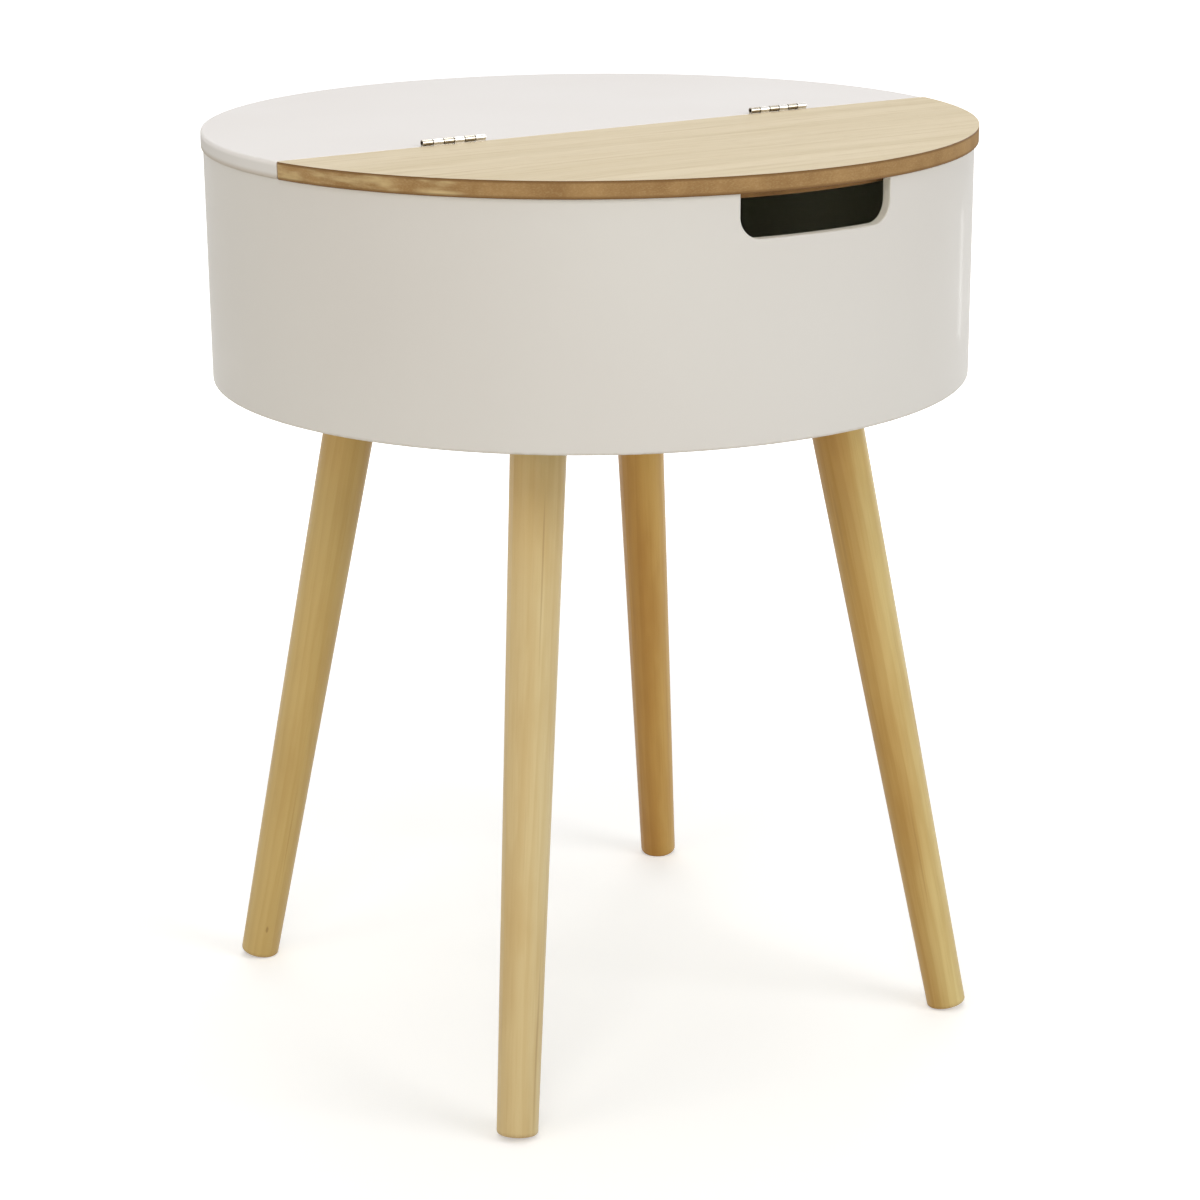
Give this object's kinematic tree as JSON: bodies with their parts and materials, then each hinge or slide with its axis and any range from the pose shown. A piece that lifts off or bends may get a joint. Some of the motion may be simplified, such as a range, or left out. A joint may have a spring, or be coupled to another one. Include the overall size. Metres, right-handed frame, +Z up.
{
  "type": "storage side table",
  "caption": "Round drum-shaped storage side table: white body, hinged wood-veneer lid over part of the top, finger notch under the lid, splayed tapered wooden legs.",
  "frame": {"origin": "on the floor under the drum's axis", "axes": "+Z up, X along the lid's hinge line, the lid and its finger notch towards -Y"},
  "size_m": [0.373, 0.374, 0.453],
  "materials": {
    "white_lacquer": "satin white lacquer over fibreboard",
    "raw_fibreboard": "bare fibreboard, sanded",
    "veneer": "pale straight-grained veneer, matt lacquer",
    "leg_wood": "turned blond wood, clear matt lacquer",
    "softwood": "planed softwood",
    "nickel": "nickel-plated steel",
    "zinc": "zinc-plated steel"
  },
  "bodies": {
    "table": {"drum_wall": "white_lacquer", "base_panel": "white_lacquer", "rear_top_panel": "white_lacquer", "cross_rail": "softwood", "cross_rail_screws": "zinc", "top_glue_blocks": "softwood", "base_glue_blocks": "softwood", "left_hinge_fixed_leaf": "nickel", "left_hinge_pin": "nickel", "right_hinge_fixed_leaf": "nickel", "right_hinge_pin": "nickel", "hinge_screws_fixed": "nickel", "leg_plate_screws": "zinc", "leg_right_rear": "leg_wood", "leg_plate_right_rear": "zinc", "hanger_bolt_right_rear": "zinc", "leg_left_rear": "leg_wood", "leg_plate_left_rear": "zinc", "hanger_bolt_left_rear": "zinc", "leg_left_front": "leg_wood", "leg_plate_left_front": "zinc", "hanger_bolt_left_front": "zinc", "leg_right_front": "leg_wood", "leg_plate_right_front": "zinc", "hanger_bolt_right_front": "zinc"},
    "lid": {"lid_core": "raw_fibreboard", "lid_face_veneer": "veneer", "lid_back_veneer": "veneer", "lid_locating_strip": "raw_fibreboard", "left_hinge_lid_leaf": "nickel", "right_hinge_lid_leaf": "nickel", "hinge_screws_lid": "nickel"}
  },
  "joints": [
    {"name": "lid_hinge", "type": "hinge", "parent": "table", "child": "lid", "pos_m": [0, -0.028, 0.4516], "axis": [-1, 0, 0], "range_deg": [0, 180]}
  ]
}
